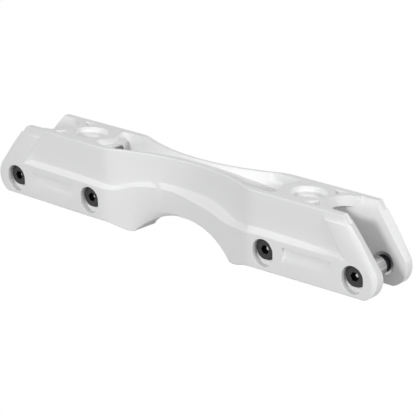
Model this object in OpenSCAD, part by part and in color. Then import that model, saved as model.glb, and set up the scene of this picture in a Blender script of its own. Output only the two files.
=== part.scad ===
// Inline skate frame, bare: moulded body, four axle bolts with washers, sleeves, bushes and nuts.
// Millimetres. X runs along the frame, Z is up, Y is across; the bolt heads face -Y.
// The origin is midway between the two boot bolt holes, on the flat top of the decks.

/* [Layout] */
// Distance between the two boot bolt holes
mount_pitch = 165.1; // [164:0.1:168]
// Distance of the inner axles from the middle
inner_axle_x = 66.2; // [65.6:0.1:67]
// Distance between neighbouring axles at one end
axle_pitch = 61.53; // [60.8:0.1:62]
// Depth of the axles under the top face
axle_depth = 34.7; // [34:0.1:35.4]

/* [Moulded body] */
// Half width over the lower bands and the end pads
band_half_width = 20.5; // [20.3:0.1:21.2]
// Half width of the top face away from the waist
top_half_width = 20.1; // [19.8:0.1:20.4]
// Half width of the top face at the waist
waist_half_width = 5.9; // [5.6:0.1:7]
// Plan radius of the waist
waist_radius = 105; // [100:1:110]
// Inward lean of the upper walls, mm per mm of depth
upper_draft = 0.09; // [0.07:0.005:0.1]
// Inward lean of the lower bands, mm per mm of depth
band_draft = 0.077; // [0.06:0.005:0.08]
// Rounding of the top edges
top_edge = 0.8; // [0.5:0.1:1.2]
// Radius of the grind arch under the middle
arch_radius = 52; // [50:0.5:54]
// Depth of the top of the arch under the top face
arch_depth = 35.3; // [34.5:0.1:36]
// Radius of the rounded ends of the walls
end_radius = 12.2; // [12:0.1:12.5]
// Width of the rim each side of the trough over the waist
trough_rim = 2.6; // [2.4:0.1:3]
// Depth of the trough at the waist
trough_depth = 1.5; // [1:0.1:2.5]

/* [Decks] */
// Radius of the round recess in each deck
deck_recess_radius = 10.86; // [10.5:0.02:11.2]
// Depth of the round recess
deck_recess_depth = 3.4; // [3:0.1:3.8]
// Radius of the bolt head step in the recess floor
head_step_radius = 6.2; // [5.8:0.1:7]
// Depth of the bolt head step under the recess floor
head_step_depth = 1.6; // [1:0.1:1.8]
// Radius of the boot bolt hole
boot_hole_radius = 3.25; // [3:0.05:3.5]
// Radius of the deck's inboard edge about the bolt hole
deck_edge_radius = 17.5; // [17:0.1:18]
// Radius of the cut-out in each outer deck end
end_cut_radius = 14.4; // [14:0.1:14.6]
// Thickness of the outer end of each deck
deck_end_thickness = 6.4; // [5.8:0.1:7]

/* [Wheel space] */
// Half of the gap between the walls at the axles
gap_half = 12; // [11.9:0.05:12.1]
// Half of the gap near the top face
gap_half_top = 13.4; // [13:0.1:13.8]
// Half width of the trough's ends and of the flare at the top of the wheel space
hollow_half = 15; // [14.6:0.1:15.2]
// Depth of the shallow rebate round the cut-out in each deck end
rebate_depth = 1.9; // [1.6:0.1:2.2]
// Outer radius of the rounded well for each inner wheel
well_radius = 29.5; // [29:0.1:30]

/* [Axle parts] */
// Radius of the bolt shank
shank_radius = 4; // [3.9:0.05:4.05]
// Running clearance on the radius of every shank and bore
fit_clearance = 0.05; // [0.03:0.01:0.08]
// Radius of the bolt head
head_radius = 6.1; // [5.8:0.1:6.4]
// Thickness of the bolt head
head_thickness = 2; // [1.8:0.1:2.4]
// Hex socket size across its flats
hex_across_flats = 5; // [4:0.5:5.5]
// Depth of the hex socket
hex_depth = 3; // [2.5:0.1:3.5]
// Radius of the washer
washer_radius = 6.7; // [6.5:0.05:6.7]
// Thickness of the washer
washer_thickness = 0.8; // [0.6:0.1:1]
// Radius of the bush flanges
flange_radius = 7; // [6.9:0.05:7.1]
// Thickness of the bush flanges
flange_thickness = 1.3; // [1:0.1:1.5]
// Radius of the spigot on each near bush
near_spigot_radius = 5.6; // [5.3:0.1:5.8]
// Radius of the barrel on each nut
nut_barrel_radius = 5.2; // [5:0.05:5.3]
// Radius of the spigot on each far bush
far_spigot_radius = 6.2; // [6:0.05:6.4]
// Half width of the nut plate, which is the width of the obround pockets less the clearance
nut_half_width = 7.05; // [7:0.01:7.1]
// Drop of the lower end of the obround shape under the axle
obround_drop = 2.75; // [2.5:0.05:3]
// Thickness of the wall between the wheel space and each obround pocket
pocket_web = 2.3; // [2.2:0.05:2.6]
// Outer radius of the spacer sleeve
sleeve_radius = 6.25; // [6:0.05:6.5]
// Length of the spacer sleeve
sleeve_length = 18.4; // [16:0.1:18.4]

/* [Hidden] */
$fn = 48;

white = [0.9, 0.9, 0.9];
black = [0.07, 0.07, 0.075];
steel = [0.5, 0.5, 0.5];
bright = [0.75, 0.75, 0.76];

mount_x = mount_pitch / 2;
outer_axle_x = inner_axle_x + axle_pitch;
axle_x = [-outer_axle_x, -inner_axle_x, inner_axle_x, outer_axle_x];
bore_radius = shank_radius + fit_clearance;
pocket_half_width = nut_half_width + fit_clearance;
pocket_floor = gap_half + pocket_web;
head_base = pocket_floor + washer_thickness;
nut_face = pocket_floor + 4.6;
bolt_end = nut_face - 0.3;

// The end radius sits a little outboard of the outer axle, on the axle line.
end_x = outer_axle_x + 3.47;
end_z = -axle_depth - 0.3;
// Top corner of each end, where the sloping end line starts.
corner_x = end_x - 10.7;
// Angle and length of the end line, which is tangent to the end radius.
corner_gap = norm([end_x - corner_x, end_z]);
end_angle = atan2(end_z, end_x - corner_x) + asin(end_radius / corner_gap);
end_length = sqrt(pow(corner_gap, 2) - pow(end_radius, 2));
tangent_x = corner_x + end_length * cos(end_angle);
tangent_z = end_length * sin(end_angle);

// Middle of the round cut-out in the outer end of each deck.
end_cut_x = mount_x + 29.45;

// Height of the upper wall's foot along the frame, and of the foot of the bevel under it.
bevel_top = [
    [-145, -21.5], [-92, -21.7], [-76, -21.8], [-58, -23], [-50, -24.2], [-46, -23.6], [-40, -20.8],
    [-34, -19.1], [-28, -17.9], [-21, -17.1], [-10, -17.3], [0, -17.9], [8, -18.1],
    [19, -18.8], [25, -20.7], [34.5, -23.2], [42, -24.6], [48, -23.6], [55, -22.4],
    [76, -22], [91, -22.5], [118, -24.3], [145, -24.3]
];
bevel_foot = [
    [-145, -25.6], [-124, -25.6], [-119, -24.6], [-97, -25], [-57, -25.9], [-49, -25.9],
    [-44.6, -24.8], [-38.7, -22.5], [-32.6, -21.2],
    [-26, -20.6], [-12.6, -20.4], [-5, -21.2], [3, -22.5], [11.5, -23.7], [20, -25],
    [24.5, -26], [31, -27.4], [38.4, -28], [48.7, -26.8], [60, -25.7], [145, -25.6]
];
// How far the band stands proud of the upper wall's foot.
band_step = [[-60, 2.4], [-45, 2.2], [-20, 2], [-8, 2.6], [0, 3.3], [10, 4], [30, 4], [45, 2.8], [60, 2.4]];
// Depth of the scoop in the lower edge of the left flank.
scoop_depth = [[-39, 0], [-36, 1.5], [-28, 3], [-20, 3], [-10, 1.6], [-3, 0]];

stations = [
    -146, -124, -119, -92, -68, -62, -58, -55, -52, -49, -46, -43, -40, -38, -36, -33, -30, -27, -24, -20, -16,
    -12, -8, -4, 0, 4, 8, 12, 16, 20, 24, 28, 32, 36, 38, 40, 43, 46, 49, 52, 55, 58, 62, 68, 92, 119, 146
];

function clamp(v) = min(1, max(0, v));
function waist_arc(x) =
    waist_half_width + waist_radius - sqrt(pow(waist_radius, 2) - pow(min(abs(x), 75), 2));
// The waist runs into the straight wall with a small rounding.
function half_width(x) = -ln(exp(-waist_arc(x)) + exp(-top_half_width));
function foot_half_width(x) = half_width(x) + upper_draft * lookup(x, bevel_top);
function band_half(x) =
    abs(x) >= 60 ? band_half_width
    : foot_half_width(x) + lookup(x, band_step)
      + (band_half_width - top_half_width - 0.4) * clamp(abs(x) / 60);
function band_at(x, z) = band_half(x) - band_draft * (lookup(x, bevel_foot) - z);
function bottom_z(x) =
    -46.5 - 0.01 * (131 - min(131, abs(x))) - 4.3 * (1 - cos(180 * clamp((56 - abs(x)) / 17))) / 2;
function arch_z(x) =
    abs(x) >= arch_radius - 1 ? -100 : sqrt(pow(arch_radius, 2) - pow(x, 2)) - arch_radius - arch_depth;
function edge_z(x) = max(bottom_z(x), arch_z(x));
function scoop_z(x) = -79.3 + sqrt(pow(45, 2) - pow(x + 12.5, 2));
function has_scoop(x) = x > -38.5 && x < -3.5;

// Half of one cross section, from the top edge down to the bottom edge.
function half_section(x) =
    let (w = half_width(x), zb = bottom_z(x), ze = edge_z(x), zs = scoop_z(x),
         yb = band_at(x, zb), cut = lookup(x, scoop_depth))
    [
        [w - top_edge, 0],
        [w - 0.3 * top_edge, -0.3 * top_edge],
        [w - upper_draft * top_edge, -top_edge],
        [foot_half_width(x), lookup(x, bevel_top)],
        [band_half(x), lookup(x, bevel_foot)],
        has_scoop(x) ? [band_at(x, zs), zs] : [yb + 0.05, zb + 0.8],
        has_scoop(x) ? [band_at(x, ze) - cut, max(ze - 0.05, zb + 0.1)] : [yb - 0.25, zb + 0.25],
        has_scoop(x) ? [band_at(x, ze) - cut - 0.2, zb] : [yb - 0.8, zb]
    ];
function section(x) =
    let (h = half_section(x), n = len(h))
    [for (i = [0 : 2 * n - 1]) i < n ? [x, h[i][0], h[i][1]] : [x, -h[2 * n - 1 - i][0], h[2 * n - 1 - i][1]]];

// The sculpted outside of the body, lofted through the cross sections.
module body_loft() {
    rings = [for (x = stations) section(x)];
    m = len(rings[0]);
    half = m / 2;
    last = len(rings) - 1;
    points = [for (ring = rings) for (p = ring) p];
    sides = [
        for (i = [0 : last - 1]) for (j = [0 : m - 1])
            let (a = i * m + j, b = i * m + (j + 1) % m, c = a + m, d = b + m)
            for (t = j < half ? [[a, b, d], [a, d, c]] : [[a, b, c], [b, d, c]]) t
    ];
    near_cap = [for (j = [m - 1 : -1 : 0]) j];
    far_cap = [for (j = [0 : m - 1]) last * m + j];
    polyhedron(points = points, faces = concat(sides, [near_cap], [far_cap]), convexity = 8);
}

// A cylinder along Y at an axle, from y0 to y1.
module along_y(x, y0, y1, r) {
    translate([x, y0, -axle_depth])
        rotate([-90, 0, 0])
            cylinder(h = y1 - y0, r = r);
}

// A side view outline pushed through the full width.
module side_prism(outline, width = 50) {
    rotate([90, 0, 0])
        linear_extrude(height = width, center = true)
            polygon(outline);
}

module both_ends() {
    children();
    mirror([1, 0, 0]) children();
}

module both_walls() {
    children();
    mirror([0, 1, 0]) children();
}

// One level of the raised pad on the outer end of a wall. Its inboard side slopes by side_slope mm along
// the wall for each mm of height, and its top by top_slope.
module pad_level(face, top, side_slope, top_slope) {
    low = lookup(130, bevel_foot);
    lean = 0.71;
    x0 = corner_x - 12.15 - lean * (top + 5.3);
    x1 = x0 + lean * (top - low);
    rise = face - 17;
    up = top_slope * rise;
    polyhedron(
        points = [
            [x0, face, top], [end_x + 15, face, top],
            [end_x + 15, face, low], [x1, face, low],
            [x0 - side_slope * rise - lean * up, 17, top + up], [end_x + 15, 17, top + up],
            [end_x + 15, 17, low], [x1 - side_slope * rise, 17, low]
        ],
        faces = [[3, 2, 1, 0], [4, 5, 6, 7], [1, 5, 4, 0], [2, 6, 5, 1], [3, 7, 6, 2], [0, 4, 7, 3]]
    );
}

// Pad on the outer end of each wall: proud below a sloping ledge, and fading out above it.
module end_pad() {
    pad_level(band_half_width, -5.3, 1.187, 1);
    pad_level(top_half_width - 1.25 * upper_draft, -1.05, 2.5, 0);
}

// Side view of the whole body: sloping end lines running into round ends.
module end_outline() {
    slope_x = tan(90 + end_angle);
    side_prism([
        [-corner_x - slope_x, 1], [-tangent_x, tangent_z], [-end_x, end_z], [-end_x, -60],
        [end_x, -60], [end_x, end_z], [tangent_x, tangent_z], [corner_x + slope_x, 1]
    ]);
    both_ends()
        translate([end_x, -25, end_z])
            rotate([-90, 0, 0])
                cylinder(h = 50, r = end_radius);
}

// Waste outside the bevel on the end of one wall; the bevel leaves the inner half of the wall square.
module end_bevel_waste() {
    centre_x = end_x - 2.6;
    centre_z = -axle_depth - 0.3;
    slope = 2.4;
    y0 = 14;
    y1 = 22;
    r1 = 10 - slope * (y1 - 20.3);
    r0 = r1 + slope * (y1 - y0);
    difference() {
        translate([corner_x - 17, y0 + 0.2, -60])
            cube([60, y1 - y0 - 0.4, 62]);
        translate([centre_x, y0, centre_z])
            rotate([-90, 0, 0])
                cylinder(h = y1 - y0, r1 = r0, r2 = r1);
        translate([centre_x, 0, centre_z])
            rotate([0, -33, 0])
                linear_extrude(height = 70)
                    polygon([[-80, y0], [r0, y0], [r1, y1], [-80, y1]]);
        translate([centre_x, 0, centre_z])
            rotate([0, 78, 0])
                translate([0, 0, -60])
                    linear_extrude(height = 60)
                        polygon([[-10, y0], [r0, y0], [r1, y1], [-10, y1]]);
    }
}

// Waste beyond the slanted end face of one wall, whose inner edge is set back most at the top.
module end_face_waste() {
    corner = [corner_x - 2.6, 12.5, 0];
    across = [2.6, 7, 0];
    down = [tangent_x - 0.4 - corner.x, 0, tangent_z];
    start = corner - 0.3 * across - 0.1 * down;
    polyhedron(
        points = [
            start, start + 1.2 * down, start + 1.2 * down + 1.6 * across, start + 1.6 * across,
            start + [8, 0, 0], start + 1.2 * down + [8, 0, 0],
            start + 1.2 * down + 1.6 * across + [8, 0, 0], start + 1.6 * across + [8, 0, 0]
        ],
        faces = [[0, 1, 2, 3], [7, 6, 5, 4], [0, 4, 5, 1], [1, 5, 6, 2], [2, 6, 7, 3], [3, 7, 4, 0]]
    );
}

// Waste above the small step in the end line, in the outer part of one wall.
module end_notch_waste() {
    slope_x = -1 / tan(end_angle);
    translate([0, 20.5, 0])
        side_prism([
            [corner_x - 1.5 - slope_x, 1], [corner_x - 1.5 + 4.6 * slope_x, -4.6],
            [corner_x + 20, -5.2], [corner_x + 20, 1]
        ], 9);
}

// Shallow panel sunk in the band between the two axles of one end.
module side_panel_waste() {
    x0 = inner_axle_x + 13.7;
    x1 = outer_axle_x - 17.2;
    z1 = -29.1;
    z0 = -35.5;
    polyhedron(
        points = [
            [x0, 18.3, z1], [x1, 18.3, z1], [x1, 18.3, z0], [x0, 18.3, z0],
            [x0, 22, z1], [x1 + 7, 22, z1], [x1 + 7, 22, z0 - 8.6], [x0, 22, z0 - 8.6]
        ],
        faces = [[0, 1, 2, 3], [7, 6, 5, 4], [0, 4, 5, 1], [1, 5, 6, 2], [2, 6, 7, 3], [3, 7, 4, 0]]
    );
}

// Cross section of the space between the walls, drawn out along X: straight below, widening toward the top.
module gap_profile() {
    top_radius = (pow(gap_half_top - gap_half, 2) + 625) / (2 * (gap_half_top - gap_half));
    difference() {
        translate([inner_axle_x, -18, -60])
            cube([90, 36, 62]);
        both_walls()
            translate([inner_axle_x - 1, gap_half, -61])
                cube([92, 20, 36]);
        both_walls()
            translate([inner_axle_x - 1, gap_half + top_radius, -25])
                rotate([0, 90, 0])
                    cylinder(h = 92, r = top_radius, $fn = 96);
    }
}

// Space between the walls from the inner wheel outward, up to the underside of the deck.
module wheel_tunnel() {
    intersection() {
        gap_profile();
        side_prism([
            [inner_axle_x, -60], [inner_axle_x, -26], [inner_axle_x + 12, -12], [mount_x + 7.5, -12],
            [mount_x + 12, -deck_end_thickness], [end_cut_x, -deck_end_thickness],
            [end_cut_x, 2], [end_x + 15, 2], [end_x + 15, -60]
        ]);
    }
}

// Rounded well for one inner wheel, and its way out downward.
module wheel_well() {
    translate([inner_axle_x, 0, -axle_depth])
        rotate([90, 0, 0])
            rotate_extrude($fn = 44)
                polygon([
                    [0, -gap_half], [20, -gap_half], [24, -gap_half + 0.7], [27, -gap_half + 2.4],
                    [well_radius - 0.6, -gap_half + 5.2], [well_radius, -gap_half + 8],
                    [well_radius, gap_half - 8], [well_radius - 0.6, gap_half - 5.2],
                    [27, gap_half - 2.4], [24, gap_half - 0.7], [20, gap_half], [0, gap_half]
                ]);
    translate([inner_axle_x - 18, -gap_half, -60])
        cube([18.5, 2 * gap_half, 60 - axle_depth]);
}

// Trough over the waist, running out into an open hollow beside each deck.
module top_trough() {
    side = hollow_half;
    corner = 3.5;
    rim_radius = waist_radius + trough_rim;
    floor_radius = 186.8;
    fillet_y = side - corner;
    reach = sqrt(pow(deck_edge_radius + corner, 2) - pow(fillet_y, 2));
    fillet_x = mount_x - reach;
    inside = 0.93 * deck_edge_radius / (deck_edge_radius + corner);
    difference() {
        union() {
            translate([0, 0, -16])
                linear_extrude(height = 17)
                    polygon([
                        [-fillet_x, -side], [fillet_x, -side], [mount_x - reach * inside, -fillet_y * inside],
                        [mount_x - reach * inside, fillet_y * inside], [fillet_x, side], [-fillet_x, side],
                        [-mount_x + reach * inside, fillet_y * inside],
                        [-mount_x + reach * inside, -fillet_y * inside]
                    ]);
            both_ends() both_walls()
                translate([fillet_x - 0.1, fillet_y + 0.05, -16])
                    cylinder(h = 17, r = corner);
        }
        translate([0, -20, -trough_depth - floor_radius])
            rotate([-90, 0, 0])
                cylinder(h = 40, r = floor_radius, $fn = 240);
        both_walls()
            translate([0, waist_half_width + waist_radius, -18])
                cylinder(h = 20, r1 = rim_radius + 9, r2 = rim_radius - 1, $fn = 96);
        both_ends()
            translate([mount_x, 0, -18])
                cylinder(h = 20, r = deck_edge_radius);
        both_ends()
            translate([mount_x, 0, -18])
                cylinder(h = 14.5, r = deck_edge_radius + 3.2);
    }
}

// Stepped boot bolt recess of one deck, the round cut-out at its outer end and the small pockets.
module deck_waste() {
    translate([mount_x, 0, -deck_recess_depth])
        cylinder(h = deck_recess_depth + 1, r = deck_recess_radius);
    translate([mount_x, 0, -deck_recess_depth - head_step_depth])
        cylinder(h = head_step_depth + 1, r = head_step_radius);
    translate([mount_x, 0, -20])
        cylinder(h = 21, r = boot_hole_radius);
    intersection() {
        gap_profile();
        translate([end_cut_x, 0, -deck_end_thickness - 1])
            cylinder(h = deck_end_thickness + 2, r = end_cut_radius);
    }
    translate([end_cut_x, 0, -rebate_depth])
        cylinder(h = rebate_depth + 1, r = end_cut_radius);
    both_walls()
        translate([end_cut_x - 3, 0, 0])
            rotate([90, 0, 90])
                linear_extrude(height = 60)
                    polygon([[gap_half_top - 0.6, -4.6], [hollow_half, 0], [hollow_half + 0.5, 1], [12, 1], [12, -4.6]]);
    both_walls()
        translate([mount_x, 0, -3.5])
            linear_extrude(height = 4.5)
                polygon([[7.8, 14.6], [12.8, 8.3], [17.2, 12.9], [17, 15.5]]);
}

// Obround pocket, bush seat and bore for one axle; side is -1 for the head wall and 1 for the nut wall.
module axle_waste(x, side) {
    spigot = side < 0 ? near_spigot_radius : far_spigot_radius;
    mirror([0, side < 0 ? 1 : 0, 0]) {
        along_y(x, gap_half - 1, pocket_floor + 1, spigot + fit_clearance);
        along_y(x, gap_half - 1, gap_half + flange_thickness, flange_radius + fit_clearance);
        along_y(x, pocket_floor, pocket_floor + 8, pocket_half_width);
        translate([0, 0, -obround_drop])
            along_y(x, pocket_floor, pocket_floor + 8, pocket_half_width);
        translate([x - pocket_half_width, pocket_floor, -axle_depth - obround_drop])
            cube([2 * pocket_half_width, 8, obround_drop]);
    }
}

module frame_body() {
    color(white)
        difference() {
            intersection() {
                union() {
                    body_loft();
                    both_ends() both_walls() end_pad();
                }
                end_outline();
            }
            translate([0, -30, -arch_depth - arch_radius])
                rotate([-90, 0, 0])
                    cylinder(h = 60, r = arch_radius, $fn = 96);
            both_ends() both_walls() end_bevel_waste();
            both_ends() both_walls() end_face_waste();
            both_ends() both_walls() end_notch_waste();
            both_ends() both_walls() side_panel_waste();
            both_ends() wheel_tunnel();
            both_ends() wheel_well();
            top_trough();
            both_ends() deck_waste();
            for (x = axle_x) {
                axle_waste(x, -1);
                axle_waste(x, 1);
            }
        }
}

// Bolt with a chamfered round head and a hex socket, its head toward -Y.
module axle_bolt(x) {
    face = head_base + head_thickness;
    color(black)
        difference() {
            translate([x, 0, -axle_depth])
                rotate([-90, 0, 0])
                    rotate_extrude()
                        polygon([
                            [0, -face], [head_radius - 0.4, -face], [head_radius, -face + 0.4],
                            [head_radius, -head_base], [shank_radius, -head_base],
                            [shank_radius, bolt_end - 0.6], [shank_radius - 0.6, bolt_end], [0, bolt_end]
                        ]);
            translate([x, -face - 1, -axle_depth])
                rotate([-90, 0, 0])
                    cylinder(h = hex_depth + 1, r = hex_across_flats / 2 / cos(30), $fn = 6);
        }
}

module axle_washer(x) {
    color(black)
        difference() {
            along_y(x, -head_base, -pocket_floor, washer_radius);
            along_y(x, -head_base - 1, -pocket_floor + 1, bore_radius);
        }
}

module axle_sleeve(x) {
    color(bright)
        difference() {
            along_y(x, -gap_half, sleeve_length - gap_half, sleeve_radius);
            along_y(x, -gap_half - 1, sleeve_length - gap_half + 1, bore_radius);
        }
}

module near_bush(x) {
    color(steel)
        mirror([0, 1, 0])
            difference() {
                union() {
                    along_y(x, gap_half, gap_half + flange_thickness, flange_radius);
                    along_y(x, gap_half, pocket_floor, near_spigot_radius);
                }
                along_y(x, gap_half - 1, pocket_floor + 1, bore_radius);
            }
}

module far_bush(x) {
    color(steel)
        difference() {
            union() {
                along_y(x, gap_half, gap_half + flange_thickness, flange_radius);
                along_y(x, gap_half, pocket_floor, far_spigot_radius);
            }
            along_y(x, gap_half - 1, pocket_floor + 1, nut_barrel_radius + fit_clearance);
        }
}

// Nut with a plate that fills the obround pocket, so that it can't turn, and a barrel through the bush.
module axle_nut(x) {
    color(black)
        difference() {
            union() {
                along_y(x, gap_half + 0.05, pocket_floor + 1, nut_barrel_radius);
                along_y(x, pocket_floor, nut_face, nut_half_width);
                translate([0, 0, -obround_drop])
                    along_y(x, pocket_floor, nut_face, nut_half_width);
                translate([x - nut_half_width, pocket_floor, -axle_depth - obround_drop])
                    cube([2 * nut_half_width, nut_face - pocket_floor, obround_drop]);
            }
            along_y(x, gap_half - 1, nut_face + 1, bore_radius);
        }
}

frame_body();
axle_bolt(axle_x[0]);  // axle_bolt_1
axle_bolt(axle_x[1]);  // axle_bolt_2
axle_bolt(axle_x[2]);  // axle_bolt_3
axle_bolt(axle_x[3]);  // axle_bolt_4
axle_washer(axle_x[0]);  // axle_washer_1
axle_washer(axle_x[1]);  // axle_washer_2
axle_washer(axle_x[2]);  // axle_washer_3
axle_washer(axle_x[3]);  // axle_washer_4
axle_sleeve(axle_x[0]);  // axle_sleeve_1
axle_sleeve(axle_x[1]);  // axle_sleeve_2
axle_sleeve(axle_x[2]);  // axle_sleeve_3
axle_sleeve(axle_x[3]);  // axle_sleeve_4
near_bush(axle_x[0]);  // near_bush_1
near_bush(axle_x[1]);  // near_bush_2
near_bush(axle_x[2]);  // near_bush_3
near_bush(axle_x[3]);  // near_bush_4
far_bush(axle_x[0]);  // far_bush_1
far_bush(axle_x[1]);  // far_bush_2
far_bush(axle_x[2]);  // far_bush_3
far_bush(axle_x[3]);  // far_bush_4
axle_nut(axle_x[0]);  // axle_nut_1
axle_nut(axle_x[1]);  // axle_nut_2
axle_nut(axle_x[2]);  // axle_nut_3
axle_nut(axle_x[3]);  // axle_nut_4
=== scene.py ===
import math
import bpy
import bmesh
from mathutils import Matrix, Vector
from mathutils.kdtree import KDTree


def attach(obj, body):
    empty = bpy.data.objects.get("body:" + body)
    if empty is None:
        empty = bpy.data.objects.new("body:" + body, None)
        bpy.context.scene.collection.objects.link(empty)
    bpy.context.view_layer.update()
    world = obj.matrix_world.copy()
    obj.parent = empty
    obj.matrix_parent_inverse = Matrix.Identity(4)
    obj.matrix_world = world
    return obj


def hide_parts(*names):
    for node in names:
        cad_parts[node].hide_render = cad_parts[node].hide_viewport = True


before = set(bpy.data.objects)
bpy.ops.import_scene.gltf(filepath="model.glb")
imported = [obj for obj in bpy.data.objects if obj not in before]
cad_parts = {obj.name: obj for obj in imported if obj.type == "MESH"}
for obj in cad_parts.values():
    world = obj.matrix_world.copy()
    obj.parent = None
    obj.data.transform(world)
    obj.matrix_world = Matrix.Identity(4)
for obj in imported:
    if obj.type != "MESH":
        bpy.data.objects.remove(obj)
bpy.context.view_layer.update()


# Camera: a long lens at the photograph's place, right of the frame and a little above it.
# Its place and tilt come from the deck recesses, the bolt heads and the ends' bottom corners.
camera_data = bpy.data.cameras.new("photo_camera")
camera_data.lens = 153.77
camera_data.sensor_width = 36
camera_data.clip_start = 0.01
camera_data.clip_end = 20
camera = bpy.data.objects.new("photo_camera", camera_data)
camera.location = (0.617916, -0.795787, 0.320429)
camera.rotation_euler = (1.236217, -0.038375, 0.664986)
bpy.context.scene.collection.objects.link(camera)
bpy.context.scene.camera = camera


# Studio: a pale floor just under the frame, as for a catalogue picture cut out on white.
# The camera and glossy surfaces see floor and backdrop as white. The floor's own grey paint shows
# through that a little, and so the frame's shadow does too.
FLOOR_HEIGHT = -0.0523
FLOOR_REACH = 3.0
FLOOR_GREY = (0.3, 0.3, 0.3, 1)
FLOOR_GLOW = 1.06
FLOOR_GLOW_SHARE = 0.93
BACKDROP_LIGHT = 0.43
WHITE = (1, 1, 1, 1)

floor_mesh = bpy.data.meshes.new("studio_floor")
floor_shape = bmesh.new()
bmesh.ops.create_grid(floor_shape, x_segments=1, y_segments=1, size=FLOOR_REACH)
bmesh.ops.translate(floor_shape, verts=floor_shape.verts, vec=(0, 0, FLOOR_HEIGHT))
floor_shape.to_mesh(floor_mesh)
floor_shape.free()
floor = bpy.data.objects.new("studio_floor", floor_mesh)
bpy.context.scene.collection.objects.link(floor)


def new_material(name):
    """A material, with its node tree and its Principled shader."""
    material = bpy.data.materials.new(name)
    material.use_nodes = True
    return material, material.node_tree, material.node_tree.nodes["Principled BSDF"]


def arithmetic(tree, operation, *values):
    """One Math node in a material or group, its inputs linked to sockets or set to numbers."""
    node = tree.nodes.new("ShaderNodeMath")
    node.operation = operation
    for socket, value in zip(node.inputs, values):
        if isinstance(value, bpy.types.NodeSocket):
            tree.links.new(value, socket)
        else:
            socket.default_value = value
    return node.outputs[0]


def seen_rays(tree):
    """1 for camera, glossy and transmission rays, and 0 for the rays that light the frame."""
    rays = tree.nodes.new("ShaderNodeLightPath").outputs
    camera_or_glossy = arithmetic(tree, "MAXIMUM", rays["Is Camera Ray"], rays["Is Glossy Ray"])
    return arithmetic(tree, "MAXIMUM", camera_or_glossy, rays["Is Transmission Ray"])


def show_instead(tree, share, usual, seen, surface):
    """Puts the seen shader in place of the usual one by the given share, on the given surface."""
    mix = tree.nodes.new("ShaderNodeMixShader")
    tree.links.new(share, mix.inputs["Fac"])
    tree.links.new(usual, mix.inputs[1])
    tree.links.new(seen, mix.inputs[2])
    tree.links.new(mix.outputs[0], surface)


floor_paint, tree, shader = new_material("floor_paint")
shader.inputs["Base Color"].default_value = FLOOR_GREY
shader.inputs["Roughness"].default_value = 0.9
glow = tree.nodes.new("ShaderNodeEmission")
glow.inputs["Color"].default_value = WHITE
glow.inputs["Strength"].default_value = FLOOR_GLOW
glow_share = arithmetic(tree, "MULTIPLY", seen_rays(tree), FLOOR_GLOW_SHARE)
show_instead(tree, glow_share, shader.outputs[0], glow.outputs[0],
             tree.nodes["Material Output"].inputs["Surface"])
floor_mesh.materials.append(floor_paint)

world = bpy.data.worlds.new("studio_white")
bpy.context.scene.world = world
world.use_nodes = True
tree = world.node_tree
backdrop = tree.nodes["Background"]
backdrop.inputs["Color"].default_value = WHITE
backdrop.inputs["Strength"].default_value = BACKDROP_LIGHT
seen_backdrop = tree.nodes.new("ShaderNodeBackground")
seen_backdrop.inputs["Color"].default_value = WHITE
seen_backdrop.inputs["Strength"].default_value = 1.0
show_instead(tree, seen_rays(tree), backdrop.outputs[0], seen_backdrop.outputs[0],
             tree.nodes["World Output"].inputs["Surface"])


# Lamps: a small firm one in front, about 23 degrees up, and a wider one to the right, about
# 17 degrees up, that faces the ends. The right end comes out brightest, as in the photograph, and
# both lamps are weak enough for the white nylon to keep its shading.
LAMP_AIM = Vector((0, 0, -0.02))


def hang_lamp(name, place, width, watts):
    """A round lamp of the given width and power that faces the middle of the frame."""
    lamp = bpy.data.lights.new(name, "AREA")
    lamp.shape = "DISK"
    lamp.size = width
    lamp.energy = watts
    holder = bpy.data.objects.new(name, lamp)
    holder.location = place
    holder.rotation_euler = (LAMP_AIM - Vector(place)).to_track_quat("-Z", "Y").to_euler()
    bpy.context.scene.collection.objects.link(holder)


hang_lamp("front_lamp", (0.03, -1.36, 0.57), width=0.25, watts=9)
hang_lamp("right_lamp", (1.38, -0.25, 0.4), width=0.4, watts=7.3)
bpy.context.scene.view_settings.view_transform = "Standard"


# Frame body: one white glass-filled nylon moulding, with its mould's soft edges and fine grain.
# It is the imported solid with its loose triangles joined, its flats cleaned and its edges rounded.
SAME_POINT = 0.000002
SLIVER_WIDTH = 0.00002
ONE_FLAT_WITHIN = math.radians(0.05)
CREASED_PAST = math.radians(50)
# A face or edge counts as folded past these, and an edge that comes this near a fold stays sharp.
LEAST_DOUBLE_AREA = 2e-14
FACING_ALIKE = 0.5
FOLDED_PAST = math.radians(140)
FOLD_REACH = 0.0004
ROUNDING_TRIES = 16
NYLON_SHADE = (0.845, 0.848, 0.855)
NYLON_LIGHT = (0.885, 0.885, 0.888)
FINE_GRAIN_SHARE = 0.7
COARSE_GRAIN_SHARE = 0.3
FLOW_STRETCH = (0.5, 1, 1)


def cleaned_solid(node):
    """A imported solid's triangles, joined at their corners and merged where they lie in one flat."""
    solid = bmesh.new()
    solid.from_mesh(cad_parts[node].data)
    bmesh.ops.remove_doubles(solid, verts=solid.verts, dist=SAME_POINT)
    bmesh.ops.dissolve_limit(solid, angle_limit=ONE_FLAT_WITHIN,
                             verts=solid.verts, edges=solid.edges)
    bmesh.ops.remove_doubles(solid, verts=solid.verts, dist=SLIVER_WIDTH)
    bmesh.ops.dissolve_degenerate(solid, dist=SLIVER_WIDTH, edges=solid.edges)
    solid.edges.index_update()
    solid.edges.ensure_lookup_table()
    return solid


def rounded_copy(solid, chosen, rounding):
    """A copy of a solid on which the edges with the chosen numbers are rounded."""
    shape = solid.copy()
    shape.edges.ensure_lookup_table()
    bmesh.ops.bevel(shape, geom=[shape.edges[index] for index in chosen], offset=rounding,
                    offset_type="OFFSET", segments=2, profile=0.5, affect="EDGES",
                    clamp_overlap=False, loop_slide=True, material=-1)
    shape.normal_update()
    return shape


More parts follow.
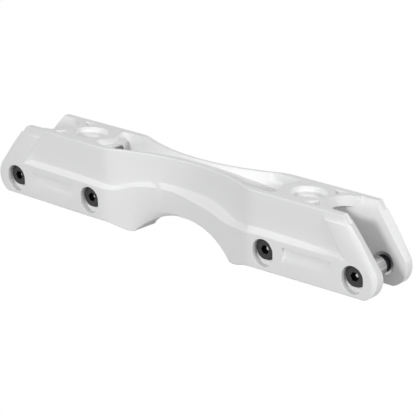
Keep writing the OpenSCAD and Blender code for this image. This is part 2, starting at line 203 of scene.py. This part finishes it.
def folded_places(shape):
    """The corners of triangles that face against their own face, and of edges folded back."""
    places = []
    for loops in shape.calc_loop_triangles():
        corners = [loop.vert.co for loop in loops]
        facing = (corners[1] - corners[0]).cross(corners[2] - corners[0])
        alike = facing.normalized().dot(loops[0].face.normal)
        if facing.length > LEAST_DOUBLE_AREA and alike < FACING_ALIKE:
            places.extend(corner.copy() for corner in corners)
    for edge in shape.edges:
        if edge.is_manifold and edge.calc_face_angle() > FOLDED_PAST:
            places.extend(vert.co.copy() for vert in edge.verts)
    return places


def edges_clear_of(places, solid, chosen):
    """The chosen edges that stay away from every one of the places, all along their length."""
    folds = KDTree(len(places))
    for index, place in enumerate(places):
        folds.insert(place, index)
    folds.balance()
    clear = []
    for index in chosen:
        start, end = [vert.co for vert in solid.edges[index].verts]
        steps = max(1, int((end - start).length / FOLD_REACH))
        samples = [start.lerp(end, step / steps) for step in range(steps + 1)]
        if all(folds.find(sample)[2] > FOLD_REACH for sample in samples):
            clear.append(index)
    return clear


def shaded_piece(name, shape):
    """An object made from a finished shape, smooth between its creases and flat on its flats."""
    for face in shape.faces:
        face.smooth = True
    for edge in shape.edges:
        edge.smooth = not edge.is_manifold or edge.calc_face_angle() < CREASED_PAST
    piece = bpy.data.objects.new(name, bpy.data.meshes.new(name))
    bpy.context.scene.collection.objects.link(piece)
    shape.to_mesh(piece.data)
    shape.free()
    flats = piece.modifiers.new("flat_faces_stay_flat", "WEIGHTED_NORMAL")
    flats.keep_sharp = True
    return piece


def soft_edged(name, node, rounding, sharp_from):
    """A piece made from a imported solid, with its sharp edges rounded where that folds no face."""
    solid = cleaned_solid(node)
    chosen = [edge.index for edge in solid.edges
              if edge.is_manifold and edge.calc_face_angle() > math.radians(sharp_from)]
    shape = rounded_copy(solid, chosen, rounding)
    for later_try in range(1, ROUNDING_TRIES):
        places = folded_places(shape)
        kept = edges_clear_of(places, solid, chosen) if places else chosen
        if len(kept) == len(chosen):
            break
        chosen = kept
        shape.free()
        shape = rounded_copy(solid, chosen, rounding)
    solid.free()
    piece = shaded_piece(name, shape)
    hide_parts(node)
    return piece


body = soft_edged("moulded_body", "frame_body", rounding=0.00025, sharp_from=38)
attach(body, "frame")


def new_group(name, outputs):
    """A shader node group with the named number outputs, and the sockets that they end in."""
    group = bpy.data.node_groups.new(name, "ShaderNodeTree")
    for output in outputs:
        group.interface.new_socket(output, in_out="OUTPUT", socket_type="NodeSocketFloat")
    return group, group.nodes.new("NodeGroupOutput").inputs


def speckle(tree, vector, scale, detail):
    """A three-dimensional noise on the given coordinates, as a value around one half."""
    node = tree.nodes.new("ShaderNodeTexNoise")
    node.inputs["Scale"].default_value = scale
    node.inputs["Detail"].default_value = detail
    tree.links.new(vector, node.inputs["Vector"])
    return node.outputs["Fac"]


def vary_colour(tree, shader, mask, plain, other):
    """Base colour that runs from the first to the second as the mask goes from 0 to 1."""
    node = tree.nodes.new("ShaderNodeMix")
    node.data_type = "RGBA"
    tree.links.new(mask, node.inputs[0])
    node.inputs[6].default_value = (*plain, 1)
    node.inputs[7].default_value = (*other, 1)
    tree.links.new(node.outputs[2], shader.inputs["Base Color"])


def vary_roughness(tree, shader, value, least, spread):
    """Roughness that rises by the spread above the least as the value goes from 0 to 1."""
    roughness = arithmetic(tree, "MULTIPLY_ADD", value, spread, least)
    tree.links.new(roughness, shader.inputs["Roughness"])


def vary_height(tree, shader, height, depth):
    """Bump from a height of 0 to 1 that stands for the given depth in metres."""
    node = tree.nodes.new("ShaderNodeBump")
    node.inputs["Strength"].default_value = 1
    node.inputs["Distance"].default_value = depth
    tree.links.new(height, node.inputs["Height"])
    tree.links.new(node.outputs["Normal"], shader.inputs["Normal"])


# The grain that a mould leaves, and the slow drift of tone where the melt flowed.
mould_skin, skin_ends = new_group("mould_skin", ("Grain", "Flow"))
tree = mould_skin
position = tree.nodes.new("ShaderNodeTexCoord").outputs["Object"]
fine_grain = speckle(tree, position, scale=2600, detail=1)
coarse_grain = speckle(tree, position, scale=700, detail=1)
grain = arithmetic(tree, "ADD", arithmetic(tree, "MULTIPLY", fine_grain, FINE_GRAIN_SHARE),
                   arithmetic(tree, "MULTIPLY", coarse_grain, COARSE_GRAIN_SHARE))
tree.links.new(grain, skin_ends["Grain"])
stretched = tree.nodes.new("ShaderNodeMapping")
stretched.inputs["Scale"].default_value = FLOW_STRETCH
tree.links.new(position, stretched.inputs["Vector"])
tree.links.new(speckle(tree, stretched.outputs[0], scale=22, detail=3), skin_ends["Flow"])

nylon, tree, shader = new_material("white_nylon")
skin = tree.nodes.new("ShaderNodeGroup")
skin.node_tree = mould_skin
vary_colour(tree, shader, skin.outputs["Flow"], NYLON_SHADE, NYLON_LIGHT)
vary_roughness(tree, shader, skin.outputs["Flow"], least=0.36, spread=0.16)
vary_height(tree, shader, skin.outputs["Grain"], depth=0.000012)
body.data.materials.append(nylon)


# Axle bolts: steel turned to an 8 mm shank and a low round head with a hex socket, then blacked
# in a hot bath. Each goes in from the near wall and screws into its nut in the far wall.
AXLE_HEIGHT = -0.0347
INNER_AXLE = 0.0662
OUTER_AXLE = 0.12773
AXLES = {1: -OUTER_AXLE, 2: -INNER_AXLE, 3: INNER_AXLE, 4: OUTER_AXLE}
HEAD_RIM_RADIUS = 0.00605
HEAD_RIM_WIDTH = 0.0003
HEAD_FACE = -0.0171
SOCKET_FLOOR = -0.0141
SOCKET_RADIUS = 0.003
# Radius of the painted glint round the socket's axis.
PAINTED_GLINT_RADIUS = 0.0011
FACE_MARGIN = 0.0001
BOLT_RING_SPACING = 0.00016
RUBBED_ABOVE = 0.56
BLACK_OXIDE = (0.016, 0.016, 0.018)
RUBBED_STEEL = (0.09, 0.088, 0.085)
# The socket's painted shade, and the colour of the painted glint in its floor.
SOCKET_PAINTED_SHADE = (0.006, 0.006, 0.007)
PAINTED_GLINT_COLOUR = (0.9, 0.89, 0.88)

# What the lathe and the hand leave on the metal pieces: the tool's rings, the streaks that run
# along the axle, and the blotches of handling. On the sleeves the streaks are also painted
# reflection bands. Radius is the distance from the axle's middle.
turned_marks, mark_ends = new_group("turned_marks", ("Rings", "Radius", "Streaks", "Handling"))
turned_marks.interface.new_socket("Spacing", in_out="INPUT", socket_type="NodeSocketFloat")
tree = turned_marks
ring_spacing = tree.nodes.new("NodeGroupInput").outputs["Spacing"]
position = tree.nodes.new("ShaderNodeTexCoord").outputs["Object"]
split = tree.nodes.new("ShaderNodeSeparateXYZ")
tree.links.new(position, split.inputs[0])

from_middle = arithmetic(tree, "ABSOLUTE", split.outputs["X"])
is_outer = arithmetic(tree, "GREATER_THAN", from_middle, (INNER_AXLE + OUTER_AXLE) / 2)
nearest = arithmetic(tree, "MULTIPLY_ADD", is_outer, OUTER_AXLE - INNER_AXLE, INNER_AXLE)
beside = arithmetic(tree, "SUBTRACT", from_middle, nearest)
above = arithmetic(tree, "SUBTRACT", split.outputs["Z"], AXLE_HEIGHT)
radius = arithmetic(tree, "SQRT", arithmetic(tree, "ADD", arithmetic(tree, "POWER", beside, 2),
                                             arithmetic(tree, "POWER", above, 2)))
tree.links.new(radius, mark_ends["Radius"])

tool_path = arithmetic(tree, "ADD", radius, split.outputs["Y"])
rings = tree.nodes.new("ShaderNodeTexNoise")
rings.noise_dimensions = "1D"
rings.inputs["Scale"].default_value = 1
rings.inputs["Detail"].default_value = 2
tree.links.new(arithmetic(tree, "DIVIDE", tool_path, ring_spacing), rings.inputs["W"])
tree.links.new(rings.outputs["Fac"], mark_ends["Rings"])

around = tree.nodes.new("ShaderNodeCombineXYZ")
tree.links.new(arithmetic(tree, "DIVIDE", beside, radius), around.inputs["X"])
tree.links.new(arithmetic(tree, "DIVIDE", above, radius), around.inputs["Z"])
# Streaks around the axle: drawing marks, which the sleeves also use as painted reflection bands.
tree.links.new(speckle(tree, around.outputs[0], scale=3.2, detail=2), mark_ends["Streaks"])
tree.links.new(speckle(tree, position, scale=420, detail=4), mark_ends["Handling"])


def lathe_marks(tree, spacing):
    """The turned marks in a material, with the tool's rings at the given spacing in metres."""
    marks = tree.nodes.new("ShaderNodeGroup")
    marks.node_tree = turned_marks
    marks.inputs["Spacing"].default_value = spacing
    return marks.outputs


# The black is rubbed thin in places round the rim of the head.
black_steel, tree, shader = new_material("black_oxide_steel")
marks = lathe_marks(tree, BOLT_RING_SPACING)
rim = arithmetic(tree, "COMPARE", marks["Radius"], HEAD_RIM_RADIUS, HEAD_RIM_WIDTH)
handled = arithmetic(tree, "GREATER_THAN", marks["Handling"], RUBBED_ABOVE)
vary_colour(tree, shader, arithmetic(tree, "MULTIPLY", rim, handled), BLACK_OXIDE, RUBBED_STEEL)
handled_roughness = arithmetic(tree, "MULTIPLY_ADD", marks["Handling"], 0.3, 0.2)
vary_roughness(tree, shader, marks["Rings"], least=handled_roughness, spread=0.08)
vary_height(tree, shader, marks["Rings"], depth=0.000008)

# Painted shade: the socket's faces get a darker, duller black than the head, for the shade inside the
# recess. Painted highlight: a pale spot round the axis of the socket's floor stands for a glint.
socket_painted_shade, tree, shader = new_material("socket_painted_shade")
shader.inputs["Specular IOR Level"].default_value = 0.06
shader.inputs["Roughness"].default_value = 0.6
marks = lathe_marks(tree, BOLT_RING_SPACING)
painted_glint_spot = arithmetic(tree, "LESS_THAN", marks["Radius"], PAINTED_GLINT_RADIUS)
vary_colour(tree, shader, painted_glint_spot, SOCKET_PAINTED_SHADE, PAINTED_GLINT_COLOUR)

for number, axle in AXLES.items():
    bolt = soft_edged("blacked_bolt_%d" % number, "axle_bolt_%d" % number,
                      rounding=0.00012, sharp_from=30)
    bolt.data.materials.append(black_steel)
    bolt.data.materials.append(socket_painted_shade)
    # Faces sunk inside the socket take the painted-shade material.
    for face in bolt.data.polygons:
        from_axle = math.hypot(face.center.x - axle, face.center.z - AXLE_HEIGHT)
        is_sunk = HEAD_FACE + FACE_MARGIN < face.center.y < SOCKET_FLOOR + FACE_MARGIN
        if is_sunk and from_axle < SOCKET_RADIUS:
            face.material_index = 1
    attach(bolt, "bolt_%d" % number)


# Washers: flat stamped steel rings under the bolt heads, blacked with the bolts.
# Each fills the round end of its pocket, so that the head bears on metal and not on the nylon.
for number in AXLES:
    washer = soft_edged("blacked_washer_%d" % number, "axle_washer_%d" % number,
                        rounding=0.00012, sharp_from=30)
    washer.data.materials.append(black_steel)
    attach(washer, "washer_%d" % number)


# Spacer sleeves: drawn aluminium tube, parted off and faced on a lathe.
# Each slides on its bolt where the wheel goes, and is taken off before the wheel is fitted.
# The sleeve's colour runs in dark and bright bands along its length: partly drawing marks and partly
# painted reflection, for the dark and bright surroundings that a polished tube mirrors.
STREAK_REFLECTION_CONTRAST = 1.7
STREAK_REFLECTION_START = -0.5
RING_SHARE = 0.3
ALUMINIUM_DARK = (0.27, 0.27, 0.275)
ALUMINIUM_BRIGHT = (0.74, 0.74, 0.745)

aluminium, tree, shader = new_material("turned_aluminium")
shader.inputs["Metallic"].default_value = 1
marks = lathe_marks(tree, spacing=0.00022)
streaks_and_painted_reflection = arithmetic(tree, "MULTIPLY_ADD", marks["Streaks"], STREAK_REFLECTION_CONTRAST, STREAK_REFLECTION_START)
streaks_reflection_and_rings = arithmetic(tree, "MULTIPLY_ADD", marks["Rings"], RING_SHARE, streaks_and_painted_reflection)
vary_colour(tree, shader, streaks_reflection_and_rings, ALUMINIUM_DARK, ALUMINIUM_BRIGHT)
vary_roughness(tree, shader, marks["Handling"], least=0.2, spread=0.2)
vary_height(tree, shader, marks["Rings"], depth=0.000014)

for number in AXLES:
    sleeve = soft_edged("turned_sleeve_%d" % number, "axle_sleeve_%d" % number,
                        rounding=0.00025, sharp_from=30)
    sleeve.data.materials.append(aluminium)
    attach(sleeve, "sleeve_%d" % number)


# Bushes: plain grey steel, turned with a flange that sits flush in the wall's inner face.
# The near ones back the washer under the bolt's head and the far ones hold the nut's barrel.
# Both are pressed into the nylon.
GREY_STEEL_DARK = (0.5, 0.5, 0.51)
GREY_STEEL_BRIGHT = (0.68, 0.68, 0.69)

grey_steel, tree, shader = new_material("plain_grey_steel")
shader.inputs["Metallic"].default_value = 1
marks = lathe_marks(tree, spacing=0.00018)
vary_colour(tree, shader, marks["Rings"], GREY_STEEL_DARK, GREY_STEEL_BRIGHT)
vary_roughness(tree, shader, marks["Handling"], least=0.24, spread=0.24)
vary_height(tree, shader, marks["Rings"], depth=0.00001)

for side in ("near", "far"):
    for number in AXLES:
        bush = soft_edged("%s_flanged_bush_%d" % (side, number), "%s_bush_%d" % (side, number),
                          rounding=0.00015, sharp_from=30)
        bush.data.materials.append(grey_steel)
        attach(bush, "frame")


# Axle nuts: blacked steel plates of the pocket's obround shape, so that they can't turn in the
# far wall. A barrel on the inner side goes through the far bush and takes the end of the bolt.
for number in AXLES:
    nut = soft_edged("obround_nut_%d" % number, "axle_nut_%d" % number,
                     rounding=0.0002, sharp_from=30)
    nut.data.materials.append(black_steel)
    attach(nut, "frame")
